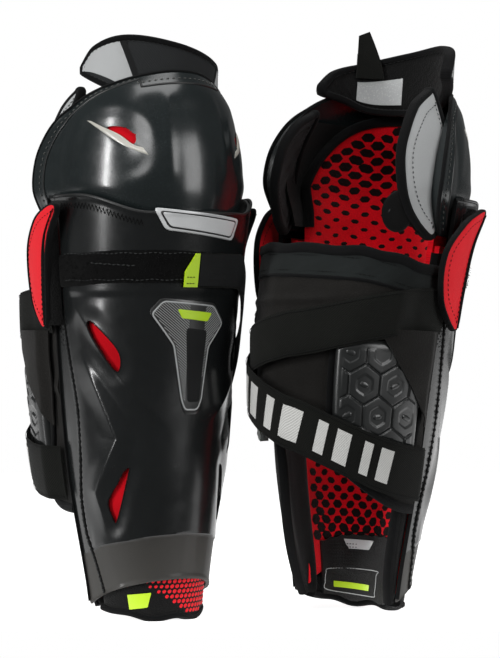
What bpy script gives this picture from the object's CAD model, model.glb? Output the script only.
"""Ice hockey shin guards: detailed shells, padded pieces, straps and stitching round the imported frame."""

import math

import bmesh
import bpy
import numpy as np
from mathutils import Matrix, Vector
from mathutils.kdtree import KDTree


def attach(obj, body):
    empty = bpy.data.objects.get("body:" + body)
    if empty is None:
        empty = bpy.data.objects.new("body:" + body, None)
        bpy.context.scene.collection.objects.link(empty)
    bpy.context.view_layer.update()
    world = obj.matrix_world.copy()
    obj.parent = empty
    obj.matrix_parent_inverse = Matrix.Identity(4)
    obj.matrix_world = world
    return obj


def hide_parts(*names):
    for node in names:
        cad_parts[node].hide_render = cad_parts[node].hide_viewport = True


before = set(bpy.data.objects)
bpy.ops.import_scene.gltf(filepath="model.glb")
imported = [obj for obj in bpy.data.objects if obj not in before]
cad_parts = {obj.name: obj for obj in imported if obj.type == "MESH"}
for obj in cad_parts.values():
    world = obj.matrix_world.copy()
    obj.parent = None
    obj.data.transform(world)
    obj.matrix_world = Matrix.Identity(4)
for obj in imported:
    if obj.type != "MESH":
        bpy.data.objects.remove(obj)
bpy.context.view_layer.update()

# Placing of the two guards, as in the CAD model (millimetres and degrees)
GUARDS = ("a_", "b_")
GUARD_TURN = 33
SECOND_LEAN = 3.6
GUARD_SPACING = 168
SECOND_LIFT = 3
MM = 0.001
PER_CM = 10  # millimetres
DEG = math.pi / 180

SHELL = 2.5  # millimetres of wall in the two shells
EDGE = 93  # degrees from the crest to the shin shell's long edges
METRIC = 1.36  # millimetres of shell per degree, for outlines in angle and height
CALF_METRIC = 270  # millimetres of wrap along the whole calf loop


# ---------------------------------------------------------------- surfaces of the guard
def curve(stations):
    """Smooth interpolation through [position, value] stations, for numbers or arrays."""
    xs = np.array([s[0] for s in stations], float)
    ys = np.array([s[1] for s in stations], float)
    slopes = np.empty(len(xs))
    for k in range(len(xs)):
        a, b = max(0, k - 1), min(len(xs) - 1, k + 1)
        slopes[k] = (ys[b] - ys[a]) / (xs[b] - xs[a])

    def at(x):
        x = np.clip(np.asarray(x, float), xs[0], xs[-1])
        i = np.clip(np.searchsorted(xs, x, side="right") - 1, 0, len(xs) - 2)
        h = xs[i + 1] - xs[i]
        t = (x - xs[i]) / h
        s = (3 - 2 * t) * t * t
        bend = slopes[i] * h * t * (1 - t) ** 2 - slopes[i + 1] * h * t * t * (1 - t)
        return ys[i] * (1 - s) + ys[i + 1] * s + bend

    return at


def mix(a, b, t):
    return a + (b - a) * t


def smooth(t):
    t = np.clip(t, 0, 1)
    return t * t * (3 - 2 * t)


def ramped(low, high, start, run):
    """A value that goes softly from low to high, over run from start on."""
    return lambda x: mix(low, high, smooth((x - start) / run))


def steady(value):
    """The same value everywhere."""
    return lambda x: value + 0 * np.asarray(x, float)


def spread(across, up, start=-1):
    """Shares for a grid of this many points: across from start to 1, and up from 0 to 1."""
    return np.linspace(start, 1, across)[None, :], np.linspace(0, 1, up)[:, None]


shin_width = curve([[0, 49], [34, 53], [115, 65.5], [206, 74], [269, 79], [346, 86]])
shin_depth = curve([[0, 55], [34, 59], [115, 73], [206, 82.5], [269, 89], [346, 102]])
crest_sweep = curve([[0, -9], [90, -3], [180, 0], [300, -3], [450, -5]])
knee_width = curve(
    [[300, 72], [330, 75], [352, 80], [374, 80], [394, 77], [412, 72], [430, 62], [446, 46]]
)
knee_depth = curve(
    [[300, 86], [330, 91], [352, 94], [374, 93], [394, 89], [412, 83], [430, 76], [446, 64]]
)
calf_depth = curve([[60, 66], [120, 84], [200, 95], [260, 96], [300, 88]])
FLAP_WIDTH, FLAP_DEPTH = 65, 55


def stack(x, y, z):
    x, y, z = np.broadcast_arrays(x, y, z)
    return np.stack([x, y, z], axis=-1).astype(float)


def on_shin(angle, z, off=0):
    a = np.asarray(angle, float) * DEG
    x = (shin_width(z) + off) * np.sin(a)
    y = crest_sweep(z) - (shin_depth(z) + off) * np.cos(a)
    return stack(x, y, z)


def on_knee(angle, z, off=0):
    a = np.asarray(angle, float) * DEG
    x = (knee_width(z) + off) * np.sin(a)
    y = crest_sweep(z) - (knee_depth(z) + off) * np.cos(a)
    return stack(x, y, z)


def on_calf(along, z, off=0):
    """The loop round the calf: along 0 at the shell's outer edge, 1 at its inner edge."""
    a = np.pi * np.asarray(along, float)
    c, s = np.cos(a), np.clip(np.sin(a), 0, 1)
    power = np.where(np.asarray(along) < 0.5, 0.78, 0.95)
    x = -(shin_width(z) - 1 + off) * np.sign(c) * np.abs(c) ** power
    y = crest_sweep(z) + (calf_depth(z) + off) * s**power
    return stack(x, y, z)


def on_flap(angle, z, off=0):
    a = np.asarray(angle, float) * DEG
    x = (FLAP_WIDTH + off) * np.sin(a)
    y = crest_sweep(z) - (FLAP_DEPTH + off) * np.cos(a)
    return stack(x, y, z)


# ---------------------------------------------------------------- mesh building
def unit(v):
    return v / np.maximum(np.linalg.norm(v, axis=-1, keepdims=True), 1e-9)


class Shape:
    """Collects grids, sweeps and patches in millimetres, with their UVs in centimetres."""

    def __init__(self):
        self.points, self.faces, self.uvs, self.masks = [], [], [], []
        self.count = 0

    def put(self, points, mask=0.0):
        points = np.asarray(points, float).reshape(-1, 3)
        start = self.count
        self.points.append(points)
        self.masks.append(np.broadcast_to(np.asarray(mask, float).reshape(-1), (len(points),)))
        self.count += len(points)
        return start

    def face(self, corners, uvs):
        self.faces.append(corners)
        self.uvs.append(uvs)

    def slab(self, top, bottom, uv, keep=None, mask=0.0):
        """A closed slab between two grids of points, without the cells that keep drops."""
        m, n = top.shape[:2]
        if keep is None:
            keep = np.ones((m - 1, n - 1), bool)
        a, b = self.put(top, mask), self.put(bottom, mask)
        uv = np.asarray(uv).reshape(-1, 2) / PER_CM
        flat = np.arange(m * n).reshape(m, n)
        for j in range(m - 1):
            for i in range(n - 1):
                if not keep[j, i]:
                    continue
                q = [flat[j, i], flat[j, i + 1], flat[j + 1, i + 1], flat[j + 1, i]]
                self.face([a + k for k in q], [uv[k] for k in q])
                self.face([b + k for k in reversed(q)], [uv[k] for k in reversed(q)])
                around = [(j - 1, i), (j, i + 1), (j + 1, i), (j, i - 1)]
                for k, (jj, ii) in enumerate(around):
                    if 0 <= jj < m - 1 and 0 <= ii < n - 1 and keep[jj, ii]:
                        continue
                    p, r = q[k], q[(k + 1) % 4]
                    self.face([a + r, a + p, b + p, b + r], [uv[r], uv[p], uv[p], uv[r]])

    def sweep(self, path, up, profile, closed=False, taper=None):
        """A tube of the profile's (side, up) points along the path."""
        path, up = np.asarray(path, float), unit(np.asarray(up, float))
        if closed:
            ahead, behind = np.roll(path, -1, 0), np.roll(path, 1, 0)
        else:
            ahead, behind = np.vstack([path[1:], path[-1:]]), np.vstack([path[:1], path[:-1]])
        tangent = unit(ahead - behind)
        side = unit(np.cross(tangent, up))
        up = np.cross(side, tangent)
        profile = np.asarray(profile, float)
        scale = np.ones(len(path)) if taper is None else np.asarray(taper, float)
        rings = (
            path[:, None]
            + side[:, None] * (profile[None, :, :1] * scale[:, None, None])
            + up[:, None] * (profile[None, :, 1:] * scale[:, None, None])
        )
        start = self.put(rings)
        k = len(profile)
        length = np.r_[0, np.cumsum(np.linalg.norm(np.diff(path, axis=0), axis=1))] / PER_CM
        loop = np.vstack([profile, profile[:1]])
        girth = np.r_[0, np.cumsum(np.linalg.norm(np.diff(loop, axis=0), axis=1))] / PER_CM
        count = len(path) if closed else len(path) - 1
        for j in range(count):
            jj = (j + 1) % len(path)
            s0 = length[j]
            s1 = length[j + 1] if j + 1 < len(path) else length[-1] + 0.1
            for i in range(k):
                ii = (i + 1) % k
                here, there = start + j * k, start + jj * k
                u0, u1 = girth[i], girth[i + 1]
                corners = [here + i, here + ii, there + ii, there + i]
                self.face(corners, [(u0, s0), (u1, s0), (u1, s1), (u0, s1)])
        if not closed:
            first = [start + i for i in range(k)]
            last = [start + (len(path) - 1) * k + i for i in reversed(range(k))]
            flat = [(p[0] / PER_CM, p[1] / PER_CM) for p in profile]
            self.face(first[::-1], flat[::-1])
            self.face(last, flat[::-1])

    def fan(self, ring, centre, under):
        """A closed lens: a ring of points, its raised centre and the centre under it."""
        a, c, d = self.put(ring), self.put(centre), self.put(under)
        k = len(ring)
        for i in range(k):
            ii = (i + 1) % k
            u0, u1 = (math.cos(i), math.sin(i)), (math.cos(ii), math.sin(ii))
            self.face([a + i, a + ii, c], [u0, u1, (0, 0)])
            self.face([a + ii, a + i, d], [u1, u0, (0, 0)])

    def mesh(self, name, sharp):
        points = np.concatenate(self.points) * MM
        mesh = bpy.data.meshes.new(name)
        mesh.from_pydata(points.tolist(), [], [[int(c) for c in f] for f in self.faces])
        layer = mesh.uv_layers.new(name="UVMap")
        flat = np.array([c for uv in self.uvs for c in uv], np.float32).ravel()
        layer.data.foreach_set("uv", flat)
        mask = mesh.attributes.new("zone", "FLOAT", "POINT")
        mask.data.foreach_set("value", np.concatenate(self.masks).astype(np.float32))
        fix_normals(mesh)
        mesh.shade_smooth()
        mesh.set_sharp_from_angle(angle=sharp * DEG)
        return mesh


def fix_normals(mesh):
    """Merges doubled points and turns every face outwards."""
    same_point = 2e-6  # metres
    bm = bmesh.new()
    bm.from_mesh(mesh)
    bmesh.ops.remove_doubles(bm, verts=bm.verts, dist=same_point)
    loose = [v for v in bm.verts if not v.link_faces]
    bmesh.ops.delete(bm, geom=loose, context="VERTS")
    bmesh.ops.recalc_face_normals(bm, faces=bm.faces)
    bm.to_mesh(mesh)
    bm.free()


def guard_matrix(prefix):
    if prefix == "a_":
        return Matrix.Rotation(GUARD_TURN * DEG, 4, "Z")
    turn = Matrix.Rotation((180 - GUARD_TURN) * DEG, 4, "Z")
    lean = Matrix.Rotation(SECOND_LEAN * DEG, 4, "Y")
    return Matrix.Translation((GUARD_SPACING * MM, 0, SECOND_LIFT * MM)) @ lean @ turn


def place(name, shape, body, material, replaces=(), guards=GUARDS, sharp=35):
    """Puts one copy of a piece on each guard.

    sheet is a cloth's flat size, how it is held, on what, and its area; sharp is the angle of its creases.
    """
    mesh = shape.mesh(name, sharp)
    mesh.materials.append(material)
    for prefix in guards:
        piece = bpy.data.objects.new(prefix + name, mesh)
        bpy.context.scene.collection.objects.link(piece)
        piece.matrix_world = guard_matrix(prefix)
        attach(piece, prefix + body)
        if replaces:
            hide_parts(*[prefix + n for n in replaces])


# ---------------------------------------------------------------- path and outline helpers
def round_path(points, per, closed=True):
    """A smooth curve through the points, with this many points per stretch."""
    p = np.asarray(points, float)
    n = len(p)
    out = []
    for i in range(n if closed else n - 1):
        if closed:
            a, b, c, d = p[(i - 1) % n], p[i], p[(i + 1) % n], p[(i + 2) % n]
        else:
            a, b, c, d = p[max(0, i - 1)], p[i], p[i + 1], p[min(n - 1, i + 2)]
        for k in range(per):
            t = k / per
            square, cube = 2 * a - 5 * b + 4 * c - d, 3 * b - a - 3 * c + d
            out.append(0.5 * (2 * b + (c - a) * t + square * t * t + cube * t**3))
    if not closed:
        out.append(p[-1])
    return np.array(out)


def even(path, step, closed=False):
    """The same path with points every step millimetres or so."""
    p = np.vstack([path, path[:1]]) if closed else np.asarray(path)
    d = np.r_[0, np.cumsum(np.linalg.norm(np.diff(p, axis=0), axis=1))]
    count = max(3, int(round(d[-1] / step)))
    at = np.linspace(0, d[-1], count + 1)
    if closed:
        at = at[:-1]
    return np.stack([np.interp(at, d, p[:, k]) for k in range(p.shape[1])], axis=1)


def oval(width, height, count=10, power=2.0):
    """A superellipse profile: width across, height up, centred."""
    t = np.arange(count) / count * 2 * np.pi
    c, s = np.cos(t), np.sin(t)
    across = np.sign(c) * np.abs(c) ** (2 / power) * width / 2
    return np.stack([across, np.sign(s) * np.abs(s) ** (2 / power) * height / 2], axis=1)


def rounded(corners, by):
    """An outline with its corners cut off and softened, by this many millimetres."""
    c = np.asarray(corners, float)
    ahead = unit(np.roll(c, -1, 0) - c) * by
    behind = unit(np.roll(c, 1, 0) - c) * by
    return np.concatenate([np.stack([p + q, p + 0.3 * (q + r), p + r]) for p, q, r in zip(c, behind, ahead)])


def tape(width, height):
    """A folded binding's profile: a flat band with full edges."""
    return oval(width, height, 12, 3.2)


def stitches(shape, path, up, length, gap, thick, closed=False):
    """A row of separate stitches, each a small bowed thread with its ends sunk in the cloth."""
    step, sink = 0.5, 0.1
    pts = even(np.hstack([path, up]), step, closed)
    line, ups = pts[:, :3], unit(pts[:, 3:])
    every = int(round((length + gap) / step))
    long = max(3, int(round(length / step)))
    bow = np.sin(np.linspace(0.12, math.pi - 0.12, long + 1))
    for k in range(0, len(line) - long - 1, every):
        seg, top = line[k : k + long + 1], ups[k : k + long + 1]
        seg = seg + top * (bow[:, None] * thick * 0.6 - sink)
        shape.sweep(seg, top, oval(thick, thick, 6), taper=0.45 + 0.55 * bow)


def normals_of(surface, a, z):
    """Outward unit normals of a surface at these places."""
    da = 0.004 if surface is on_calf else 0.4  # the calf loop counts in shares, the others in degrees
    pa = surface(a + da, z) - surface(a - da, z)
    pz = surface(a, z + 1.0) - surface(a, z - 1.0)
    return unit(np.cross(pa, pz))


def unrolled(a, z):
    """UVs in millimetres for places given by angle and height."""
    return np.stack(np.broadcast_arrays(a * METRIC, z), axis=-1)


def wrap_uv(s, z):
    """The same for places given by share of the calf loop and height."""
    return np.stack(np.broadcast_arrays(s * CALF_METRIC, z), axis=-1)


def welt(shape, surface, a, z, off, profile, **options):
    """A raised line over places on a surface."""
    shape.sweep(surface(a, z, off), normals_of(surface, a, z), profile, **options)


def sewn(shape, surface, a, z, off, *sizes):
    """A row of stitches over places on a surface."""
    stitches(shape, surface(a, z, off), normals_of(surface, a, z), *sizes)


def edge_distance(points, loop):
    """Distance to a closed outline, negative inside, and the nearest point on it."""
    p = np.asarray(points, float)
    best = np.full(p.shape[:-1], 1e9)
    near = np.zeros(p.shape)
    inside = np.zeros(p.shape[:-1], bool)
    loop = np.asarray(loop, float)
    for a, b in zip(loop, np.roll(loop, -1, 0)):
        ab = b - a
        t = np.clip(((p - a) @ ab) / max(ab @ ab, 1e-12), 0, 1)
        q = a + t[..., None] * ab
        d = np.linalg.norm(p - q, axis=-1)
        closer = d < best
        best = np.where(closer, d, best)
        near = np.where(closer[..., None], q, near)
        crosses = (a[1] > p[..., 1]) != (b[1] > p[..., 1])
        slope = (b[0] - a[0]) * (p[..., 1] - a[1]) / (b[1] - a[1] + 1e-12) + a[0]
        inside ^= crosses & (p[..., 0] < slope)
    return np.where(inside, -best, best), near


def line_distance(points, line):
    """Signed distance to an open polyline, positive on its left, and the share along it."""
    p = np.asarray(points, float)
    best = np.full(p.shape[:-1], 1e9)
    sign = np.ones(p.shape[:-1])
    along = np.zeros(p.shape[:-1])
    line = np.asarray(line, float)
    lengths = np.linalg.norm(np.diff(line, axis=0), axis=1)
    done = np.r_[0, np.cumsum(lengths)]
    for k, (a, b) in enumerate(zip(line[:-1], line[1:])):
        ab = b - a
        t = np.clip(((p - a) @ ab) / (ab @ ab), 0, 1)
        q = a + t[..., None] * ab
        d = np.linalg.norm(p - q, axis=-1)
        side = np.where(ab[0] * (p[..., 1] - a[1]) - ab[1] * (p[..., 0] - a[0]) > 0, 1.0, -1.0)
        closer = d < best
        best = np.where(closer, d, best)
        sign = np.where(closer, side, sign)
        along = np.where(closer, (done[k] + t * lengths[k]) / done[-1], along)
    return best * sign, along


def ridge(points, line, height, left, right, fade):
    """A crease: full height on the line, falling off over left and right millimetres."""
    d, along = line_distance(points, line)
    fall = np.where(d > 0, 1 - d / left, 1 + d / right)
    ends = smooth(along / fade) * smooth((1 - along) / fade)
    return height * np.clip(fall, 0, 1) ** 2 * ends


# ---------------------------------------------------------------- materials
class Look:
    """A procedural material: a Principled shader and the few node patterns that drive it."""

    def __init__(self, name, roughness, coat=0.0, coat_roughness=0.1, sheen=0.0, specular=0.5):
        self.mat = bpy.data.materials.new(name)
        self.mat.use_nodes = True
        self.tree = self.mat.node_tree
        self.shader = self.tree.nodes["Principled BSDF"]
        self.give(self.shader, {"Roughness": roughness, "Specular IOR Level": specular})
        self.give(self.shader, {"Coat Weight": coat, "Coat Roughness": coat_roughness})
        self.give(self.shader, {"Sheen Weight": sheen, "Sheen Roughness": 0.5})

    def give(self, node, values):
        for key, value in values.items():
            node.inputs[key].default_value = value

    def node(self, kind, values=(), **settings):
        """A new node with these settings, and these values for its inputs."""
        node = self.tree.nodes.new("ShaderNode" + kind)
        for key, value in settings.items():
            setattr(node, key, value)
        self.give(node, dict(values))
        return node

    def link(self, a, b):
        self.tree.links.new(a, b)

    def place(self, kind="UV"):
        return self.node("TexCoord").outputs[kind]

    def noise(self, where, scale, detail=3.0, rough=0.6):
        n = self.node("TexNoise", {"Scale": scale, "Detail": detail, "Roughness": rough})
        self.link(where, n.inputs["Vector"])
        return n.outputs["Fac"]

    def wave(self, where, scale, direction, distortion=0.0):
        values = {"Scale": scale, "Distortion": distortion, "Detail": 1.0}
        n = self.node("TexWave", values, wave_type="BANDS", bands_direction=direction, wave_profile="SIN")
        self.link(where, n.inputs["Vector"])
        return n.outputs["Fac"]

    def cells(self, where, scale):
        n = self.node("TexVoronoi", {"Scale": scale}, feature="F1")
        self.link(where, n.inputs["Vector"])
        return n.outputs["Distance"]

    def ramp(self, value, *stops):
        """A colour that goes from the first stop's to the second's."""
        r = self.node("ValToRGB")
        for e, (at, c) in zip(r.color_ramp.elements, stops):
            e.position, e.color = at, (*c, 1)
        self.link(value, r.inputs["Fac"])
        return r.outputs["Color"]

    def maths(self, op, *values, clamp=False):
        m = self.node("Math", operation=op, use_clamp=clamp)
        for i, v in enumerate(values):
            if isinstance(v, (int, float)):
                m.inputs[i].default_value = v
            else:
                self.link(v, m.inputs[i])
        return m.outputs[0]

    def blend(self, factor, a, b):
        m = self.node("Mix", data_type="RGBA")
        for socket, v in ((m.inputs[6], a), (m.inputs[7], b)):
            if isinstance(v, tuple):
                socket.default_value = (*v, 1)
            else:
                self.link(v, socket)
        if isinstance(factor, float):
            m.inputs[0].default_value = factor
        else:
            self.link(factor, m.inputs[0])
        return m.outputs[2]

    def color(self, source):
        self.link(source, self.shader.inputs["Base Color"])

    def roughness(self, value, low, high):
        self.link(self.ranged(value, low, high), self.shader.inputs["Roughness"])

    def ranged(self, value, low, high):
        r = self.node("MapRange", {"To Min": low, "To Max": high})
        self.link(value, r.inputs["Value"])
        return r.outputs[0]

    def bump(self, height, distance, strength, after=None):
        b = self.node("Bump", {"Strength": strength, "Distance": distance})
        self.link(height, b.inputs["Height"])
        if after is not None:
            self.link(after, b.inputs["Normal"])
        self.link(b.outputs[0], self.shader.inputs["Normal"])
        return b.outputs[0]


def shade(color, k):
    return tuple(min(1.0, c * k) for c in color)


def fabric(name, color, thread, roughness, sheen, depth, kind, vary=0.25, specular=0.06):
    """Cloth of threads this many millimetres apart, raised by depth metres."""
    look = Look(name, roughness, sheen=sheen, specular=specular)
    uv = look.place()
    scale = 3.14 / thread
    if kind == "weave":
        height = look.maths("MAXIMUM", look.wave(uv, scale, "X", 0.6), look.wave(uv, scale, "Y", 0.6))
    elif kind == "rib":
        cross = look.maths("MULTIPLY", look.wave(uv, scale * 1.7, "X"), 0.4)
        height = look.maths("ADD", look.wave(uv, scale, "Y", 0.3), cross)
    elif kind == "twill":
        cross = look.maths("MULTIPLY", look.wave(uv, scale * 2, "X"), 0.3)
        height = look.maths("ADD", look.wave(uv, scale, "DIAGONAL", 0.4), cross)
    elif kind == "mesh":
        height = look.maths("MULTIPLY", look.cells(uv, 10 / thread), 1.6)
    else:
        height = look.noise(uv, 22 / thread, 6, 0.8)
    patches = look.noise(look.place("Object"), 18, 4)
    thread_tone = look.maths("MULTIPLY_ADD", height, 0.5, 0.35)
    dark, light = shade(color, 1 - vary), shade(color, 1 + vary)
    tone = look.ramp(patches, (0.3, dark), (0.7, light))
    look.color(look.blend(thread_tone, shade(color, 0.45), tone))
    look.roughness(patches, roughness - 0.08, min(1, roughness + 0.08))
    soft = look.bump(look.noise(look.place("Object"), 60, 2), 0.0008, 0.35)
    look.bump(height, depth, 0.8, after=soft)
    return look.mat


def plastic(name, color, roughness, coat, speckle=0.0, grain=0.00003, matte=None, specular=0.5):
    """Moulded plastic with faint flow marks and handling scuffs; matte is the zone mask's second finish."""
    look = Look(name, roughness, coat=coat, coat_roughness=0.12, specular=specular)
    where = look.place("Object")
    flow = look.noise(where, 14, 3)
    fine = look.noise(where, 900, 2)
    scuffs = look.noise(where, 75, 8, 0.75)
    base = look.ramp(flow, (0.25, shade(color, 0.85)), (0.75, shade(color, 1.2)))
    if speckle:
        specks = look.ramp(fine, (0.56, (0, 0, 0)), (0.7, (1, 1, 1)))
        base = look.blend(look.maths("MULTIPLY", specks, speckle), base, shade(color, 4.0))
    worn = look.maths("SUBTRACT", scuffs, 0.35, clamp=True)
    if matte:
        zone = look.node("Attribute", attribute_name="zone").outputs["Fac"]
        base = look.blend(zone, base, look.ramp(flow, (0.3, shade(matte, 0.88)), (0.7, shade(matte, 1.12))))
        mix_rough = look.node("Mix", data_type="FLOAT")
        look.link(zone, mix_rough.inputs[0])
        look.link(look.ranged(worn, roughness - 0.04, roughness + 0.16), mix_rough.inputs[2])
        mix_rough.inputs[3].default_value = 0.62
        look.link(mix_rough.outputs[0], look.shader.inputs["Roughness"])
    else:
        look.roughness(worn, roughness - 0.03, roughness + 0.18)
    look.color(base)
    peel = look.bump(look.noise(where, 55, 1), 0.0004, 0.12)
    look.bump(fine, grain, 0.35, after=peel)
    return look.mat


BLACK = (0.0045, 0.0047, 0.0050)
SHELL_FOOT = (0.019, 0.0175, 0.0148)
gloss = plastic("gloss_shell", (0.0058, 0.0066, 0.0068), 0.25, 0.1, matte=SHELL_FOOT, specular=0.42)
knee_gloss = plastic("gloss_knee", (0.0085, 0.0115, 0.0120), 0.22, 0.14, speckle=0.2, specular=0.45)
vent_lip = plastic("vent_lip", (0.36, 0.35, 0.31), 0.3, 0.2)
binding = fabric("binding", BLACK, 0.6, 0.9, 0.05, 0.00018, "rib")
webbing = fabric("webbing", (0.006, 0.0063, 0.006), 1.0, 0.85, 0.05, 0.00025, "rib")
strap_cloth = fabric("strap_cloth", (0.0068, 0.0072, 0.0062), 1.1, 0.8, 0.05, 0.0002, "twill")
loop_pile = fabric("loop_pile", (0.0036, 0.0036, 0.0036), 0.9, 0.98, 0.04, 0.0008, "fuzz")
smooth_label = fabric("smooth_label", (0.013, 0.0135, 0.0138), 0.5, 0.55, 0.02, 0.00005, "weave")
silver_cloth = fabric("silver_cloth", (0.40, 0.41, 0.412), 0.6, 0.55, 0.05, 0.00006, "weave", 0.06, 0.3)
dark_silver = fabric("dark_silver", (0.022, 0.0235, 0.0245), 1.3, 0.6, 0.03, 0.00012, "twill", 0.12)
red_cloth = fabric("red_cloth", (0.78, 0.004, 0.014), 0.6, 0.6, 0.05, 0.00007, "weave", 0.08, 0.2)
liner_red = fabric("liner_red", (0.78, 0.004, 0.013), 0.8, 0.85, 0.1, 0.00025, "mesh", 0.15)
liner_black = fabric("liner_black", (0.008, 0.0045, 0.0045), 0.8, 0.85, 0.08, 0.00025, "mesh", 0.15)
foam_red = fabric("foam_red", (0.60, 0.003, 0.010), 1.4, 0.85, 0.05, 0.0004, "fuzz")
black_mesh = fabric("black_mesh", (0.0062, 0.0062, 0.0062), 1.3, 0.85, 0.1, 0.0004, "mesh")
plush = fabric("plush", (0.0036, 0.0036, 0.0036), 0.8, 0.95, 0.12, 0.0004, "fuzz")
wrap_mesh = fabric("wrap_mesh", (0.0105, 0.0098, 0.0090), 0.9, 0.85, 0.08, 0.0002, "mesh")
slate_knit = fabric("slate_knit", (0.0125, 0.0150, 0.0148), 0.9, 0.85, 0.08, 0.00025, "rib")
calf_rubber = plastic("calf_rubber", (0.0105, 0.0115, 0.0115), 0.36, 0.1, grain=0.00006)
silver_plate = plastic("silver_plate", (0.48, 0.49, 0.495), 0.34, 0.15, speckle=0.06)
badge_film = plastic("badge_film", (0.0125, 0.0130, 0.0130), 0.34, 0.05)
badge_line = plastic("badge_line", (0.28, 0.29, 0.29), 0.4, 0.05)
lime = plastic("lime", (0.40, 0.60, 0.010), 0.42, 0.05)
white_print = fabric("white_print", (0.60, 0.60, 0.58), 1.1, 0.6, 0.0, 0.00015, "twill", 0.08)
grey_print = plastic("grey_print", (0.30, 0.31, 0.31), 0.5, 0.0, speckle=0.2)
pale_sleeve = fabric("pale_sleeve", (0.55, 0.58, 0.56), 1.0, 0.7, 0.1, 0.00025, "rib", 0.06)
dark_thread = fabric("dark_thread", (0.0035, 0.0035, 0.0035), 0.4, 0.7, 0.05, 0.0001, "twill")
pale_thread = fabric("pale_thread", (0.11, 0.11, 0.105), 0.4, 0.6, 0.05, 0.0001, "twill")
grey_thread = fabric("grey_thread", (0.035, 0.037, 0.037), 0.4, 0.65, 0.05, 0.0001, "twill")
scuff_cloth = fabric("scuff_cloth", (0.0075, 0.0075, 0.0075), 1.3, 0.5, 0.03, 0.00035, "mesh", specular=0.3)

# ---------------------------------------------------------------- shin shell
FLANK = 86  # degrees from the crest to where the edges of the shell and its padding level out


def shell_top(a):
    return 331 + 15 * smooth((np.abs(a) - 30) / 40)


def foot_line(centre, a):
    """A foot edge at this height over the crest, dropping towards the flanks."""
    return centre - 22 * (np.minimum(np.abs(a), FLANK) / 85) ** 2


def shell_bottom(a):
    return foot_line(34, a)


SHIN_VENTS = [
    [(66, 242), (62, 242), (49, 224), (45, 213), (46, 203), (50, 205), (58, 220), (64, 233)],
    [(41, 125), (45, 122), (50, 112), (58, 97), (56, 85), (53, 80), (48, 95), (43, 115)],
]


def flat_points(places):
    return np.array([(a * METRIC, z) for a, z in places], float)


def flat_loop(places, step):
    return even(round_path(flat_points(places), 6), step, closed=True)


def vent_loop(places):
    return flat_loop(places, 0.8)


# The sewn seam between the moulded face and the flange behind it, as angle and height
SEAM = [(88, 320), (89, 297), (88, 277), (82, 224), (76, 172)]
SEAM += [(77, 131), (81, 97), (81, 70), (76, 50), (70, 22)]


def shin_relief(angle, z):
    """How far the moulded face stands out of the plain shell, in millimetres."""
    t = np.abs(angle)
    p = np.stack(np.broadcast_arrays(t * METRIC, z), axis=-1).astype(float)
    out = np.zeros(p.shape[:-1])
    seam, _ = line_distance(p, flat_points(SEAM[::-1]))
    flange = smooth((-seam + 1.2) / 2.4)
    body = smooth((z - 250) / -14) * smooth((z - 60) / 8)
    # Creases on the moulded face: the brow, the outer arms and the hollows inside them
    brow = [(82, 272), (74, 254), (67, 241), (61, 226), (51, 206), (45, 196), (36, 183), (18, 161), (11, 150)]
    out += ridge(p, flat_points(brow), 2.6, 15, 36, 0.3)
    arm = [(73, 222), (66, 204), (60, 186), (54, 168), (48, 148), (57, 127), (66, 104), (62, 82), (58, 66)]
    out += ridge(p, flat_points(arm), 3.0, 16, 34, 0.2) * body
    inner_arm = [(71, 218), (58, 196), (50, 180), (42, 164), (36, 149), (41, 126)]
    out += ridge(p, flat_points(inner_arm), -1.3, 20, 16, 0.3) * body
    # The foot below its cross line, sunk vents, and the flange and upper panel at their own levels
    below, _ = line_distance(p, flat_points([(81, 58), (65, 61), (45, 65), (26, 69), (0, 71)]))
    out += 1.1 * smooth((1.0 - below) / 2.0) * np.clip(1 - np.abs(below) / 26, 0, 1) * smooth((78 - t) / 6)
    for vent in SHIN_VENTS:
        d, _ = edge_distance(p, vent_loop(vent))
        out -= 1.2 * smooth(1 - d / 14)
    out *= 1 - flange
    upper = smooth((z - 262) / 6)
    out += 0.8 * upper * (1 - flange) * smooth((86 - t) / 4)
    out -= 0.9 * flange
    # A small lip along the seam and a rolled rim at the top and the foot
    out += 0.5 * np.exp(-(((seam + 2.0) / 1.2) ** 2))
    rim = np.minimum(shell_top(angle) - z, z - shell_bottom(angle))
    out += 0.7 * np.exp(-(((rim - 2.0) / 1.6) ** 2))
    return out


def windowed(surface, relief, angles, heights, vents, matte_below=None):
    """A curved wall with vents: its grid is pulled onto the vents' outlines and opened there."""
    pull = 0.75  # millimetres from an outline
    a, z = angles.copy(), heights.copy()
    p = np.stack([np.abs(a) * METRIC, z], axis=-1)
    sign = np.where(a < 0, -1.0, 1.0)
    keep = np.ones((a.shape[0] - 1, a.shape[1] - 1), bool)
    for vent in vents:
        loop = vent_loop(vent)
        d, near = edge_distance(p, loop)
        close = (np.abs(d) < pull) & (np.abs(a) > 2)
        a = np.where(close, sign * near[..., 0] / METRIC, a)
        z = np.where(close, near[..., 1], z)
        middle = (p[:-1, :-1] + p[1:, :-1] + p[:-1, 1:] + p[1:, 1:]) / 4
        dm, _ = edge_distance(middle, loop)
        keep &= dm > 0.05
    mask = 0.0 if matte_below is None else smooth(matte_below(np.abs(a)) - z + 0.5).ravel()
    shape = Shape()
    shape.slab(surface(a, z, relief(a, z)), surface(a, z, -SHELL), unrolled(a, z), keep, mask)
    return shape


share, rise = spread(177, 241)
heights = mix(shell_bottom(share * FLANK), shell_top(share * FLANK), rise)
angles = share * EDGE + 0 * heights
matte_top = curve([[0, 71], [26, 69], [45, 65], [65, 61], [78, 56], [93, 52]])
shape = windowed(on_shin, shin_relief, angles, heights, SHIN_VENTS, matte_top)
place("shin_shell", shape, "shin", gloss, ["shin_shell"], sharp=28)

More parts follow.
